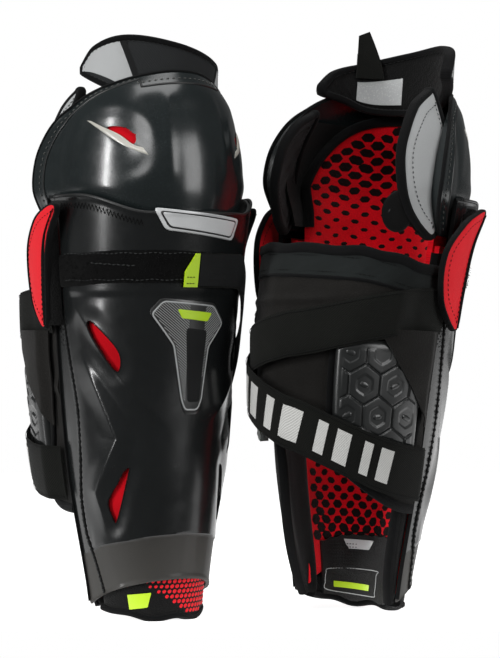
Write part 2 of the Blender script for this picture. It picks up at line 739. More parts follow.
shape = Shape()
for vent in SHIN_VENTS:
    loop = vent_loop(vent)
    for side in (-1, 1):
        a, z = side * loop[:, 0] / METRIC, loop[:, 1]
        welt(shape, on_shin, a, z, shin_relief(a, z) + 0.1, oval(0.77, 1.1), closed=True)
for side in (-1, 1):
    z = np.linspace(14, 344, 120)
    welt(shape, on_shin, np.full(120, side * EDGE), z, -0.8, tape(1.6, 3.8))
place("shin_rims", shape, "shin", binding)

# ---------------------------------------------------------------- knee cap
knee_edge = curve(
    [[312, 99], [345, 107], [365, 107], [385, 104], [405, 97], [420, 87], [432, 75], [440, 60], [446, 44]]
)
KNEE_VENT = [(56, 399), (50, 400), (44, 398), (39.5, 394), (38, 389), (39.5, 385), (44, 387), (50, 393)]
KNEE_LIP = [(69, 405), (60, 408), (48, 408), (38, 402), (32, 391), (31, 379), (38, 378), (50, 384), (60, 394)]
ISLAND = [(72, 415), (56, 420), (42, 417), (30, 407), (25, 391), (25, 370)]
ISLAND += [(33, 356), (46, 352), (66, 354), (84, 361), (83, 378), (78, 398)]


def knee_relief(angle, z):
    t = np.abs(angle)
    p = np.stack(np.broadcast_arrays(t * METRIC, z), axis=-1).astype(float)
    # A soft edge round the sunk island, a deeper hollow round the vent, and a flange along the edge
    d, _ = edge_distance(p, flat_loop(ISLAND, 1.5))
    out = 0.35 * np.exp(-((d / 6.0) ** 2)) - 0.8 * smooth(-(d + 1) / 13)
    e, _ = edge_distance(p, flat_loop(KNEE_LIP, 1.5))
    out -= 0.6 * smooth(-e / 9)
    edge = (knee_edge(z) - t) * METRIC
    flange = smooth((11 - edge) / 2.2)
    out = out * (1 - flange) - 0.5 * flange + 0.7 * np.exp(-(((edge - 11.5) / 1.8) ** 2))
    out += 0.6 * np.exp(-(((edge - 1.8) / 1.4) ** 2))
    # Two upright ridges beside the middle, and flanks that spread a little
    ridge_line = np.exp(-(((t - 19) / 3.5) ** 2)) * smooth((z - 352) / 14) * smooth((432 - z) / 14)
    return out + 0.9 * ridge_line + 0.5 * np.clip(t - 88, 0, 30)


share, rise = spread(151, 113)
level = mix(314, 446, rise) + 0 * share
angles = share * knee_edge(level)
heights = level - 5 * np.abs(share) ** 2 * smooth((level - 400) / 46)
shape = windowed(on_knee, knee_relief, angles, heights, [KNEE_VENT])
place("knee_shell", shape, "knee", knee_gloss, ["knee_shell"], sharp=28)


def knee_arch(inset):
    """Points along the arch of the knee cap's edge, as angle and height, and the cap's face there."""
    z = np.linspace(316, 444, 60)
    side = np.stack([(knee_edge(z) - inset / METRIC), z - 5 * smooth((z - 400) / 46)], axis=1)
    top_a = np.linspace(side[-1, 0], -side[-1, 0], 24)[1:-1]
    top = np.stack([top_a, 446 - inset * 0.8 - 5 * (top_a / 42) ** 2], axis=1)
    a, z = np.vstack([side, top, side[::-1] * [-1, 1]]).T
    return a, z, knee_relief(a, z)


shape = Shape()
a, z, face = knee_arch(0)
welt(shape, on_knee, a, z, face - 0.7, tape(2.2, 3.6))
place("knee_rim", shape, "knee", binding)
shape = Shape()
sewn(shape, on_knee, *knee_arch(7.5), 2.6, 2.4, 0.9)
place("knee_stitches", shape, "knee", pale_thread)
shape = Shape()
a, z, face = knee_arch(12.5)
welt(shape, on_knee, a, z, face + 0.1, oval(2.0, 1.6, 10))
place("knee_arch_bead", shape, "knee", badge_film)

LIP_LOW = [(70, 405.5), (61, 398), (51, 389), (42, 382), (31, 376)]
LIP_HIGH = [(67, 405), (59, 400), (48, 393), (40, 385), (34, 382)]


def picked(places):
    """Forty points of the smooth line through these places."""
    line = even(round_path(flat_points(places), 8, closed=False), 1.0)
    return line[(np.linspace(0, 1, 40) * (len(line) - 1)).round().astype(int)]


shape = Shape()
v = np.linspace(0, 1, 8)[:, None, None]
grid = mix(picked(LIP_LOW)[None], picked(LIP_HIGH)[None], v)
for side in (-1, 1):
    a, z = side * grid[..., 0] / METRIC, grid[..., 1]
    base = knee_relief(a, z)
    rounding = 0.5 * (1 - np.abs(2 * v[..., 0] - 1) ** 4)
    shape.slab(on_knee(a, z, base + 0.1 + rounding), on_knee(a, z, base - 0.6), grid)
place("knee_vent_lips", shape, "knee", vent_lip, sharp=60)

# ---------------------------------------------------------------- padded layers behind the shells
def foam(surface, reach, low, high, outer, inner, rows):
    """A layer of foam between two depths, closing softly at its edges."""
    share, rise = spread(61, rows)
    z = mix(low(share * FLANK), high, rise)
    a = share * reach + 0 * z
    full = (1 - np.abs(share) ** 8.0) * (1 - np.abs(2 * rise - 1) ** 12.0)
    half = (outer - inner) / 2 * (0.35 + 0.65 * full**0.5)
    centre = (outer + inner) / 2
    shape = Shape()
    shape.slab(surface(a, z, centre + half), surface(a, z, centre - half), unrolled(a, z))
    return shape


def pad_low(a):
    return foot_line(40, a)


shape = foam(on_shin, 87, pad_low, 308, -3.2, -9.4, 61)
place("shin_foam", shape, "shin", foam_red, ["shin_foam"])
shape = foam(on_knee, 86, steady(320), 403, -3.3, -7.0, 31)
place("knee_foam", shape, "knee", foam_red, ["knee_foam"])

shape = Shape()
share, rise = spread(71, 41)
level = mix(318, 408, rise) + 0 * share
a = share * (knee_edge(level) - 1.5)
z = level - 4 * np.abs(share) ** 2 * smooth((level - 400) / 40)
shape.slab(on_knee(a, z, -7.4), on_knee(a, z, -9.6), unrolled(a, z))
place("knee_lining", shape, "knee", plush)


def liner_folds(a, z):
    """Soft creases where the liner bends round the leg."""
    fold = 1.3 * np.exp(-(((a - 12 - (z - 360) * 0.05) / 4) ** 2)) + 1.0 * np.exp(-(((a + 34) / 5) ** 2))
    return -fold - 0.5 * np.sin(z * 0.16 + a * 0.09) * np.cos(a * 0.12 - z * 0.05)


LINER_EDGE, LINER_FOOT, LINER_FACE = 88, 290, -17.6


def liner_top(share):
    return 414 - 62 * np.abs(share) ** 3.6


def liner_face(a, z, share, rise):
    """Depth of the knee liner's face towards the leg."""
    full = (1 - np.abs(share) ** 10) * (1 - rise**14)
    return LINER_FACE - liner_folds(a, z) * full * 0.8 + 2.2 * (1 - full)


share, rise = spread(81, 61)
a, z = share * LINER_EDGE, mix(LINER_FOOT, liner_top(share), rise)
shape = Shape()
shape.slab(on_knee(a, z, -10.4), on_knee(a, z, liner_face(a, z, share, rise)), unrolled(a, z))
place("knee_liner", shape, "knee", liner_red, ["knee_liner"])

shape = Shape()
s = np.linspace(-1, 1, 160)
a, z = s * LINER_EDGE, liner_top(s)
down_a = np.full(14, LINER_EDGE)
down_z = np.linspace(318, z[-1], 14)
a = np.r_[-down_a, a[1:-1], down_a[::-1]]
z = np.r_[down_z, z[1:-1], down_z[::-1]]
path = even(on_knee(a, z, -15.2), 2.0)
shape.sweep(path, np.tile([0, 1.0, 0.15], (len(path), 1)), oval(8.5, 6.5, 14, 2.6))
place("knee_liner_binding", shape, "knee", binding)


def hex_print(surface, sheet_face, inside, wide, tall, across, foot, head):
    """Printed flattened hexagons in staggered rows, each a thin raised patch."""
    up, reach = 6.6, 80  # millimetres from row to row, and degrees from the crest
    shape = Shape()
    for row in range(int((head - foot) / up) + 1):
        z0 = foot + row * up
        for col in range(-40, 41):
            s0 = (col + 0.5 * (row % 2)) * across
            a0 = s0 / 1.2
            if abs(a0) > reach or not inside(a0, z0):
                continue
            wobble = math.sin(row * 3.7 + col * 2.3)
            width = wide(z0) * (1 + 0.06 * wobble)
            height = tall(z0) * (1 + 0.07 * math.cos(row * 1.9 - col))
            t = np.arange(12) / 12 * 2 * math.pi + 0.08 * wobble
            square = np.maximum(np.abs(np.sin(t)), np.abs(np.sin(t + math.pi / 3)))
            square = np.maximum(square, np.abs(np.sin(t - math.pi / 3)))
            radius = 0.9 / square
            sa = s0 + np.cos(t) * radius * width / 2
            zz = z0 + np.sin(t) * radius * height / 2 + 0.06 * wobble * np.cos(t) * width
            aa = sa / 1.2
            ring = surface(aa, zz, sheet_face(aa, zz) + 0.12)
            centre = surface(a0, z0, sheet_face(a0, z0) - 0.5)
            under = surface(a0, z0, sheet_face(a0, z0) + 0.8)
            shape.fan(ring, centre, under)
    return shape


def knee_face(a, z):
    share = np.asarray(a, float) / LINER_EDGE
    rise = (np.asarray(z, float) - LINER_FOOT) / (liner_top(share) - LINER_FOOT)
    return liner_face(a, z, share, np.clip(rise, 0, 1))


def knee_inside(a, z):
    return z < liner_top(a / LINER_EDGE) - 7


wide, tall = ramped(9.0, 15.8, 316, 60), ramped(4.6, 9.8, 316, 60)
shape = hex_print(on_knee, knee_face, knee_inside, wide, tall, 19.0, 300, 410)
place("knee_liner_print", shape, "knee", liner_black, sharp=60)

# The shin liner, its print and its black borders
def shin_face(a, z):
    return -17.7 - 0.7 * liner_folds(a, z)


share, rise = spread(81, 121)
z = mix(pad_low(share * FLANK) + 1, 306, rise)
a = share * 92 + 0 * z
full = (1 - np.abs(share) ** 12) * (1 - np.abs(2 * rise - 1) ** 20)
shape = Shape()
shape.slab(on_shin(a, z, -10.6), on_shin(a, z, shin_face(a, z) + 2.5 * (1 - full)), unrolled(a, z))
place("shin_liner", shape, "shin", liner_red, ["shin_liner"])

wide, tall = ramped(15.6, 5.0, 58, 110), ramped(9.8, 3.2, 58, 110)
shape = hex_print(on_shin, shin_face, lambda a, z: z > 54, wide, tall, 16.4, 52, 300)
place("shin_liner_print", shape, "shin", liner_black, sharp=60)

inner_back = curve([[8, 92], [26, 106], [60, 126], [115, 140], [165, 124], [225, 104], [300, 95]])
outer_back = curve([[8, 92], [26, 98], [60, 101], [120, 101], [300, 96]])


def side_border(side, back):
    """The black padded border along one long edge of the liner."""
    u, v = spread(17, 90, 0)
    z = mix(10, 300, v) + 0 * u
    a = side * mix(80, back(z), u)
    full = (1 - np.abs(2 * u - 1) ** 6) ** 0.5 * (1 - np.abs(2 * v - 1) ** 40)
    half = 3.4 * full + 0.9
    centre = mix(-14.0, -9.0, smooth(u * 1.4))
    return on_shin(a, z, centre + half), on_shin(a, z, centre - half), unrolled(a, z)


shape, edging = Shape(), Shape()
z = np.linspace(10, 300, 130)
for side, back in ((1, inner_back), (-1, outer_back)):
    shape.slab(*side_border(side, back))
    welt(edging, on_shin, side * back(z), z, -9.0, oval(6.5, 8.5, 12, 2.8))
place("liner_borders", shape, "shin", plush)
place("liner_border_binding", edging, "shin", binding)

# ---------------------------------------------------------------- boot tongue and scuff patch
TONGUE_REACH = 82  # degrees from the crest
TONGUE_MIDDLE = -9.0


def tongue_low(a):
    return 2.5 + 7 * smooth((np.abs(a) - 30) / 55) + 1.2 * np.cos(a * 0.13)


def tongue_high(a):
    return pad_low(a) + 3.5


def tongue_half(share, rise):
    """Half the tongue's thickness, thinner towards its edges."""
    full = (1 - np.abs(share) ** 10) * (1 - np.abs(2 * rise - 1) ** 8)
    return 5.0 * (0.3 + 0.7 * np.sqrt(np.clip(full, 0, 1)))


share, rise = spread(61, 25)
z = mix(tongue_low(share * FLANK), tongue_high(share * FLANK), rise)
a = share * TONGUE_REACH + 0 * z
half = tongue_half(share, rise)
shape = Shape()
shape.slab(on_shin(a, z, TONGUE_MIDDLE + half), on_shin(a, z, TONGUE_MIDDLE - half), unrolled(a, z))
place("ankle_tongue", shape, "shin", black_mesh, ["ankle_tongue"])
shape = Shape()
s = np.linspace(-TONGUE_REACH, TONGUE_REACH, 90)
path = on_shin(s, tongue_low(s) + 0.6, TONGUE_MIDDLE)
shape.sweep(path, np.tile([0, 0, -1.0], (len(path), 1)), oval(12.5, 6.5, 14, 2.8))
place("tongue_binding", shape, "shin", binding)


def tongue_front(a, z):
    """Depth of the tongue's front face."""
    rise = (z - tongue_low(a)) / (tongue_high(a) - tongue_low(a))
    return TONGUE_MIDDLE + tongue_half(a / TONGUE_REACH, rise)


shape = Shape()
for row in range(8):
    for col in range(24):
        a0 = -44 + col * 5.4 + 2.7 * (row % 2)
        z0 = 36 - row * 4.1
        lowest = max(tongue_low(a0) + 4, 35 - (a0 + 44) * 0.52)
        if a0 > 66 or not lowest <= z0 <= tongue_high(a0) - 2:
            continue
        size = mix(2.6, 4.8, smooth((a0 + 44) / 50))
        t = np.arange(10) / 10 * 2 * math.pi
        aa, zz = a0 + np.cos(t) * size * 0.46 + np.sin(t) * 0.4, z0 + np.sin(t) * size * 0.36
        ring = on_shin(aa, zz, tongue_front(aa, zz) + 0.05)
        depth = tongue_front(a0, z0)
        shape.fan(ring, on_shin(a0, z0, depth + 0.45), on_shin(a0, z0, depth - 0.6))
place("tongue_dots", shape, "shin", red_cloth, sharp=60)


def disc_grid(ring, steps):
    """Angles, heights and UVs of a patch, from its middle out to a ring of points."""
    grid = mix(ring.mean(0)[None, None], ring[None], steps[:, None, None])
    grid = np.concatenate([grid, grid[:, :1]], axis=1)
    return grid[..., 0] / METRIC, grid[..., 1], grid


def label(corners, depth, thick=0.5, outward=1):
    """A thin patch on the shin whose outline is given as angle and height."""
    a, z, grid = disc_grid(even(flat_points(corners), 1.2, closed=True), np.linspace(0, 1, 10))
    base = depth(a, z) if callable(depth) else depth
    shape = Shape()
    shape.slab(on_shin(a, z, base + outward * thick), on_shin(a, z, base - outward * 0.25), grid)
    return shape


shape = label([(-50, 21), (-27, 23), (-31, 11), (-49, 9)], tongue_front)
place("tongue_size_label", shape, "shin", lime, sharp=60)

SCUFF_FACE = -19.4
shape = Shape()
share, rise = spread(61, 41)
a = share * 72 + 0 * rise
scallop = 1.6 * np.abs(np.sin(a * 0.22))
z = mix(tongue_low(a) + 2.5, 61 - 7 * np.abs(share) ** 3 - scallop, rise)
bulge = 1.2 * np.exp(-((a - 42) / 10) ** 2) * smooth((z - 26) / 8) * smooth((56 - z) / 8)
shape.slab(on_shin(a, z, -17.0), on_shin(a, z, SCUFF_FACE - bulge), unrolled(a, z))
place("scuff_patch", shape, "shin", scuff_cloth, ["scuff_patch"])
shape = label([(1, 56), (41, 56), (36, 48), (7, 48)], SCUFF_FACE - 0.2, 0.5, -1)
place("scuff_bar", shape, "shin", silver_plate, sharp=60)
shape = Shape()
a = np.linspace(24, 62, 20)
for k in range(9):
    z = np.full(20, 52 - k * 2.6)
    path = on_shin(a, z, SCUFF_FACE - 0.3 - np.exp(-((a - 42) / 10) ** 2))
    stitches(shape, path, -normals_of(on_shin, a, z), 1.6, 0.9, 0.8)
place("scuff_grip", shape, "shin", scuff_cloth)
shape = Shape()
corners = [(-8, 31), (60, 31), (68, 27), (70, 20), (66, 13), (-4, 9), (-10, 13), (-10, 27)]
frame_line = round_path(corners, 6)
a, z = frame_line[:, 0], frame_line[:, 1]
shape.sweep(on_shin(a, z, SCUFF_FACE - 0.5), -normals_of(on_shin, a, z), oval(0.8, 0.6, 6), closed=True)
place("scuff_frame", shape, "shin", grey_print)
shape = label([(2, 18.5), (56, 20.5), (56, 15.5), (2, 13.5)], SCUFF_FACE - 0.2, 0.4, -1)
place("scuff_lime", shape, "shin", lime, sharp=60)

# ---------------------------------------------------------------- visor over the thigh
flap_top = curve([[-80, 450], [-66, 465], [-40, 473], [0, 468], [40, 458], [66, 450], [80, 438]])
flap_foot = curve(
    [[-80, 446], [-56, 435], [-36, 425], [-18, 421], [18, 420], [36, 422], [56, 429], [80, 433]]
)


FLAP_REACH = 80  # degrees from the crest

share, rise = spread(97, 19)
a = share * FLAP_REACH
z = mix(flap_foot(a), flap_top(a), rise)
full = (1 - np.abs(share) ** 16) * (1 - np.abs(2 * rise - 1) ** 6)
shape = Shape()
shape.slab(on_flap(a, z, -0.9 + 0.9 * full), on_flap(a, z, -2.4), unrolled(a, z))
place("thigh_cover", shape, "thigh", dark_silver, ["thigh_cover"])

shape = Shape()
dimple = 0.35 * np.cos(a * METRIC * 0.55) * np.cos(z * 0.75)
face = -5.0 - 2.4 * np.sqrt(np.clip(full, 0, 1)) - dimple * full
shape.slab(on_flap(a, z, -3.0), on_flap(a, z, face), unrolled(a, z))
place("thigh_pad", shape, "thigh", black_mesh, ["thigh_pad"])


def flap_outline(inset, step=2.0):
    """The visor's outline as angles and heights, moved inwards by inset."""
    a = np.linspace(inset - FLAP_REACH, FLAP_REACH - inset, 90)
    top = np.stack([a, flap_top(a) - inset * 0.6], 1)
    foot = np.stack([a[::-1], flap_foot(a[::-1]) + inset * 0.6], 1)
    line = np.vstack([top, foot])
    flat = even(line * [1.1, 1], step, closed=True)
    return flat[:, 0] / 1.1, flat[:, 1]


shape = Shape()
a, z = flap_outline(0)
welt(shape, on_flap, a, z, -4.3, oval(5.8, 9.8, 16, 3.0), closed=True)
place("visor_binding", shape, "thigh", binding)
shape = Shape()
a, z = flap_outline(4.4, 1.0)
for depth, outward in ((0.45, 1), (-8.1, -1)):
    path = on_flap(a, z, depth - 0.2 * outward)
    stitches(shape, path, outward * normals_of(on_flap, a, z), 2.2, 1.6, 0.5, closed=True)
place("visor_stitches", shape, "thigh", grey_thread)


def flap_patch(shape, corners, depth, thick, outward=1):
    """A thin patch on the visor between four corners given as angle and share of the height."""
    c = np.array(corners, float)
    u = np.linspace(0, 1, 25)[None, :, None]
    v = np.linspace(0, 1, 9)[:, None, None]
    grid = mix(mix(c[0], c[1], u), mix(c[3], c[2], u), v)
    a, r = grid[..., 0], grid[..., 1]
    z = mix(flap_foot(a), flap_top(a), r)
    shape.slab(on_flap(a, z, depth + outward * thick), on_flap(a, z, depth - outward * 0.3), unrolled(a, z))


shape = Shape()
flap_patch(shape, [(-78, 0.25), (-30, 0.12), (-44, 0.94), (-77, 0.9)], 0, 0.4)
flap_patch(shape, [(38, 0.12), (74, 0.12), (76, 0.88), (54, 0.9)], 0, 0.4)
place("visor_silver", shape, "thigh", silver_cloth, sharp=60)
shape = Shape()
flap_patch(shape, [(-29, 0.12), (-25, 0.12), (-39, 0.94), (-43, 0.94)], 0, 0.35)
flap_patch(shape, [(34, 0.12), (37, 0.12), (53, 0.9), (50, 0.9)], 0, 0.35)
place("visor_stripes", shape, "thigh", smooth_label, sharp=60)
shape = Shape()
flap_patch(shape, [(3, 0.14), (44, 0.14), (44, 0.62), (3, 0.62)], -7.7, 0.35, -1)
place("visor_size_label", shape, "thigh", grey_print, sharp=60)

# The thigh strap's folded tip: tucked down on the first guard, standing on the second
TAB_LONG = {"a_": (440, 456), "b_": (448, 486)}


def thigh_tab(prefix):
    foot, head = TAB_LONG[prefix]
    shape = Shape()
    u, v = spread(15, 15)
    a = mix(20 + 16 * v**1.4, 46, (u + 1) / 2)
    z = mix(foot, head, v) - 2 * v * u * (head - foot) / 38
    shape.slab(on_flap(a, z, -9.2), on_flap(a, z, -10.6), unrolled(a, z))
    a, z = a[:9], z[:9]
    shape.slab(on_flap(a, z, -8.0), on_flap(a, z, -9.0), unrolled(a, z))
    return shape


for prefix in TAB_LONG:
    place("thigh_tab", thigh_tab(prefix), "thigh", strap_cloth, ["thigh_tab"], guards=(prefix,))

# ---------------------------------------------------------------- wings beside the knee and the shin
WING_FOOT, WING_HEADS = 312, {-1: 432, 1: 412}
SIDE_FOOT, SIDE_HEAD = 238, 338
wing_front = curve([[0, 14], [0.18, 6], [0.38, 4], [1, 4]])
wing_back = curve([[0, 26], [0.16, 44], [0.36, 54], [0.63, 52], [0.88, 34], [1, 12]])
wing_reach = curve([[0, 77], [0.16, 78], [0.38, 80], [0.68, 75], [0.85, 68], [1, 60]])
wing2_front = curve([[238, -4], [275, -6], [310, -12], [338, -30]])
wing2_back = curve([[238, 6], [262, 24], [300, 27], [325, 8], [338, -14]])


def knee_wing(side, y, z, depth):
    """A place on a knee wing: depth counted inwards from its outer face."""
    share = (np.asarray(z, float) - WING_FOOT) / (WING_HEADS[side] - WING_FOOT)
    x = wing_reach(share) - 0.005 * y * y - depth - 1.2
    return stack(side * x, crest_sweep(z) + y, z)


def knee_wing_edges(side):
    """The front and back edges of this side's knee wing, by height."""
    long = WING_HEADS[side] - WING_FOOT
    return (lambda z: wing_front((z - WING_FOOT) / long)), (lambda z: wing_back((z - WING_FOOT) / long))


def side_wing(side, y, z, depth):
    """The same on a side wing beside the shin."""
    x = shin_width(z) + 14.5 - 0.004 * y * y - depth
    return stack(side * x, crest_sweep(z) + y, z)


def wing_grid(front, back, low, high, nu, nv):
    """Rows across a wing, closing softly at its head and foot."""
    rise = np.linspace(0, 1, nv + 1)[:, None]
    z = mix(low, high, 0.5 - 0.5 * np.cos(rise * math.pi))
    squeeze = np.clip(np.minimum(z - low, high - z) / 9, 0, 1)
    squeeze = np.sqrt(1 - (1 - squeeze) ** 2) * 0.94 + 0.06
    middle, half = (front(z) + back(z)) / 2, (back(z) - front(z)) / 2 * squeeze
    share = np.linspace(-1, 1, nu + 1)[None, :]
    return middle + half * share, z + 0 * share, share, rise


def wing_outline(front, back, low, high, inset, step=1.5):
    """A wing's outline, moved inwards by inset."""
    y, z, _, _ = wing_grid(front, back, low, high, 2, 60)
    middle, centre = (low + high) / 2, y[:, 1]
    half = np.maximum((y[:, 2] - y[:, 0]) / 2 - inset, 0.5)
    zz = middle + (z[:, 0] - middle) * (1 - 2 * inset / (high - low))
    right = np.stack([centre + half, zz], 1)[1:-1]
    left = np.stack([centre - half, zz], 1)[-2:0:-1]
    outline = even(np.vstack([right, left]), step, closed=True)
    return outline[:, 0], outline[:, 1]


def wing(place_at, shape, side, front, back, low, high, deep, puff):
    """A padded wing; puff is added to how far its inner face bulges, and less to its outer face."""
    y, z, share, rise = wing_grid(front, back, low, high, 26, 60)
    full = np.sqrt(np.clip((1 - share**4) * (1 - np.abs(2 * rise - 1) ** 12), 0, 1))
    wrinkle = 0.35 * np.sin(z * 0.33 + y * 0.12) * np.sin(y * 0.25)
    outer = place_at(side, y, z, deep / 2 - (deep / 2 + puff * 0.4) * full * 0.92 + 0 * z)
    inner = place_at(side, y, z, deep / 2 + (deep / 2 + puff) * full * 0.92 + wrinkle * full)
    shape.slab(outer, inner, np.stack(np.broadcast_arrays(y, z), -1))


def wing_line(place_at, side, outline, depth):
    """A line on a wing at this depth, and the way out of the wing from it."""
    y, z = outline
    path = place_at(side, y, z, depth)
    return path, place_at(side, y, z, depth - 1) - path


def wing_sewing(place_at, side, outline, depths, *sizes):
    """Rows of stitches on a wing's inner and outer faces."""
    shape = Shape()
    for depth, flip in zip(depths, (-1, 1)):
        path, out = wing_line(place_at, side, outline, depth)
        stitches(shape, path, flip * out, *sizes, closed=True)
    return shape


for side, tag in ((-1, "outer"), (1, "inner")):
    shape = Shape()
    head = WING_HEADS[side] + 2
    front, back = knee_wing_edges(side)
    wing(knee_wing, shape, side, front, back, WING_FOOT, head, 8, -0.5)
    cloth = silver_cloth if side < 0 else plush
    body, name = "knee_flank_" + tag, "knee_wing_" + tag
    place(name, shape, body, cloth, [name])
    shape = Shape()
    outline = wing_outline(front, back, WING_FOOT, head, 0.5)
    shape.sweep(*wing_line(knee_wing, side, outline, 4), oval(6.2, 8.2, 14, 2.8), closed=True)
    place(name + "_binding", shape, body, binding)
    outline = wing_outline(front, back, WING_FOOT, head, 7.5, 1.0)
    shape = wing_sewing(knee_wing, side, outline, (7.6, 0.2), 2.2, 1.8, 0.7)
    thread = grey_thread if side < 0 else dark_thread
    place(name + "_stitches", shape, body, thread)

    shape = Shape()
    wing(side_wing, shape, side, wing2_front, wing2_back, SIDE_FOOT, SIDE_HEAD, 5, 1.0)
    body, name = "side_flank_" + tag, "side_wing_" + tag
    place(name, shape, body, red_cloth, [name])
    shape = Shape()
    outline = wing_outline(wing2_front, wing2_back, SIDE_FOOT, SIDE_HEAD, 0.3)
    shape.sweep(*wing_line(side_wing, side, outline, 2.5), oval(2.5, 5.4, 12, 2.8), closed=True)
    place(name + "_binding", shape, body, binding)
    outline = wing_outline(wing2_front, wing2_back, SIDE_FOOT, SIDE_HEAD, 5.5, 1.0)
    shape = wing_sewing(side_wing, side, outline, (5.9, -0.2), 2.0, 1.8, 0.6)
    place(name + "_stitches", shape, body, dark_thread)

    # The mesh flap that joins the side wing's front edge to the shell
    shape = Shape()
    u, v = spread(15, 50, 0)
    z = mix(240, 334, v) + 0 * u
    inside = on_shin(side * 85, z, 1.4)
    outside = side_wing(side, wing2_front(z) + 3 + 1.5 * np.sin(v * 3), z, -0.9)
    belly = 2.0 * np.sin(math.pi * u) * np.sin(math.pi * v) ** 0.3
    face = mix(inside, outside, u[..., None])
    away = unit(np.stack([side + 0 * face[..., 0], -1.0 + 0 * face[..., 0], 0 * face[..., 0]], -1))
    cloth = np.stack([u * 18 + 0 * z, z], -1)
    shape.slab(face + away * (belly + 0.6)[..., None], face + away * (belly - 0.6)[..., None], cloth)
    place(name + "_flap", shape, body, black_mesh)

# A soft lobe on the outer knee wing's lower back edge
shape = Shape()
u = np.linspace(0, 2 * math.pi, 37)[None, :]
v = np.linspace(0.02, 1, 12)[:, None]
y = 50 + 13 * v * np.cos(u)
z = 331 + 17 * v * np.sin(u)
dome = np.sqrt(np.clip(1 - v**4, 0, 1)) + 0 * u
lobe_uv = np.stack([y, z], -1)
shape.slab(knee_wing(-1, y, z, 7.4 + 2.6 * dome), knee_wing(-1, y, z, 6.2 - 2.0 * dome), lobe_uv)
place("knee_wing_lobe", shape, "knee_flank_outer", plush)

# ---------------------------------------------------------------- bands, plate and badge on the front
def strap(shape, surface, ends, middle, half, off, thick, count=60, rows=10, ripple=0.12):
    """A flat woven band along a middle height, slightly uneven, with rounded edges."""
    s = np.linspace(*ends, count)[None, :]
    v = np.linspace(0, 1, rows + 1)[:, None]
    long = ends[1] - ends[0]
    z = mix(middle(s) - half(s), middle(s) + half(s), v) + ripple * np.sin(s * (60 / long)) * (2 * v - 1)
    edge = 1 - np.abs(2 * v - 1) ** 8
    wave = ripple * np.sin(s * (37 / long) + v * 2.0)
    base = off(s) + 0 * v
    s = s + 0 * v
    top = surface(s, z, base + thick * (0.45 + 0.55 * edge) + wave)
    bottom = surface(s, z, base + thick * 0.45 * (1 - edge))
    step = np.linalg.norm(np.diff(top, axis=1), axis=2).mean(0)
    run = np.r_[0, np.cumsum(step)][None, :] + 0 * z
    shape.slab(top, bottom, np.stack([run, z], axis=-1))


BAND_MIDDLE, BAND_HALF = 284, 13


def band_middle(a):
    return BAND_MIDDLE + 3 * smooth((a + 84) / 40) - 2 * smooth((a + 20) / 32)


shape = Shape()
strap(shape, on_shin, (-86, 12), band_middle, steady(BAND_HALF), steady(0.9), 1.4, 120, 12, 0.1)
place("loop_band", shape, "shin", loop_pile, ["loop_band"])
shape = Shape()
rng = np.random.default_rng(7)
# Loose loops of thread standing out of the band
fuzz_low, fuzz_high = band_middle(0) - BAND_HALF + 1.5, band_middle(0) + BAND_HALF - 1.5
for _ in range(420):
    a0, z0 = rng.uniform(-84, 10), rng.uniform(fuzz_low, fuzz_high)
    root, out = on_shin(a0, z0, 2.0), normals_of(on_shin, a0, z0)
    along = rng.normal(size=3) * 0.9
    path = root + np.array([[0, 0, 0], along * 0.6 + out, along * 1.4 + out * 0.7, along * 1.8])
    shape.sweep(path, np.tile(out, (4, 1)), oval(0.28, 0.28, 4))
place("loop_fuzz", shape, "shin", loop_pile)
shape = Shape()
a = np.linspace(-80, 8, 90)
for side in (-1, 1):
    z = band_middle(-40) + side * (BAND_HALF - 2.4) + 0.4 * np.sin(a * 0.4)
    sewn(shape, on_shin, a, z, 2.3, 2.6, 1.4, 0.8)
a = np.linspace(-62, -36, 30)
z = 290 - 0.1 * (a + 62) + 0.3 * np.sin(a * 1.3)
sewn(shape, on_shin, a, z, 2.4, 3.0, 1.0, 0.9)
place("loop_band_stitches", shape, "shin", grey_thread)


def raised(corners, lift, thick, round_by):
    """A patch with this outline that follows the moulded face of the shin shell below it."""
    # Shares of the way out to the outline, the last two for its rounded edge
    steps = np.r_[np.linspace(0, 0.93, 12), 0.975, 1.0]
    a, z, grid = disc_grid(even(rounded(flat_points(corners), round_by), 1.0, closed=True), steps)
    drop = thick * np.clip((steps[:, None] - 0.95) / 0.05, 0, 1) ** 2 * 0.8
    base = shin_relief(a, z) + lift
    shape = Shape()
    shape.slab(on_shin(a, z, base + thick - drop), on_shin(a, z, base - 0.5), grid)
    return shape


shape = raised([(-29, 334), (26, 326), (22, 308), (-22, 316)], 0.5, 1.7, 3)
place("name_plate", shape, "shin", silver_plate, ["name_plate"])
shape = raised([(-26, 331.5), (23, 324.2), (19.5, 310.2), (-20.5, 317.6)], 2.1, 0.5, 2.4)
place("name_plate_face", shape, "shin", badge_film)
shape = raised([(-24.6, 330.2), (21.8, 323.2), (18.8, 311.4), (-19.6, 318.8)], 2.5, 0.5, 2)
place("name_plate_silver", shape, "shin", silver_plate)

BADGE = [(-29, 251), (-22, 262), (14, 258), (24, 243), (12, 223)]
BADGE += [(9, 177), (6, 168), (-4, 168), (-7, 177), (-14, 224)]
shape = raised(BADGE, 0.2, 0.8, 2.5)
place("shin_badge", shape, "shin", badge_film, ["shin_badge"])

